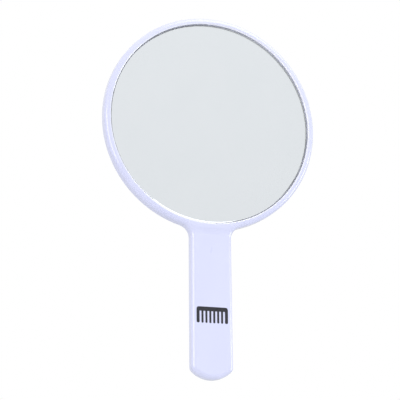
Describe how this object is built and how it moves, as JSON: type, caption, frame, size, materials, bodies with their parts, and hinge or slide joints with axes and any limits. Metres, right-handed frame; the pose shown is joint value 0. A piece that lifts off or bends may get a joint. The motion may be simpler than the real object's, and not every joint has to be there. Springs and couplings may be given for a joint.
{
  "type": "hand mirror",
  "caption": "Round hand mirror with a thin rounded rim, recessed glass and a flat handle with an arched end.",
  "frame": {"origin": "middle of the grip: halfway along the handle, halfway across it and halfway through the head", "axes": "+Z from the handle to the head, -Y out of the glass, +X to the right of someone who looks into the glass"},
  "size_m": [0.15, 0.0104, 0.2522],
  "materials": {
    "frame_plastic": "satin",
    "cover_plastic": "satin",
    "mirror_glass": "polished",
    "silver_coat": "polished",
    "back_paint": "matte",
    "foam_tape": "matte",
    "print_ink": "satin"
  },
  "bodies": {
    "root": {"front_frame": "frame_plastic", "back_cover": "cover_plastic", "mirror_glass": "mirror_glass", "mirror_silvering": "silver_coat", "mirror_back_paint": "back_paint", "upper_mounting_tape": "foam_tape", "right_mounting_tape": "foam_tape", "lower_mounting_tape": "foam_tape", "left_mounting_tape": "foam_tape"}
  },
  "joints": []
}
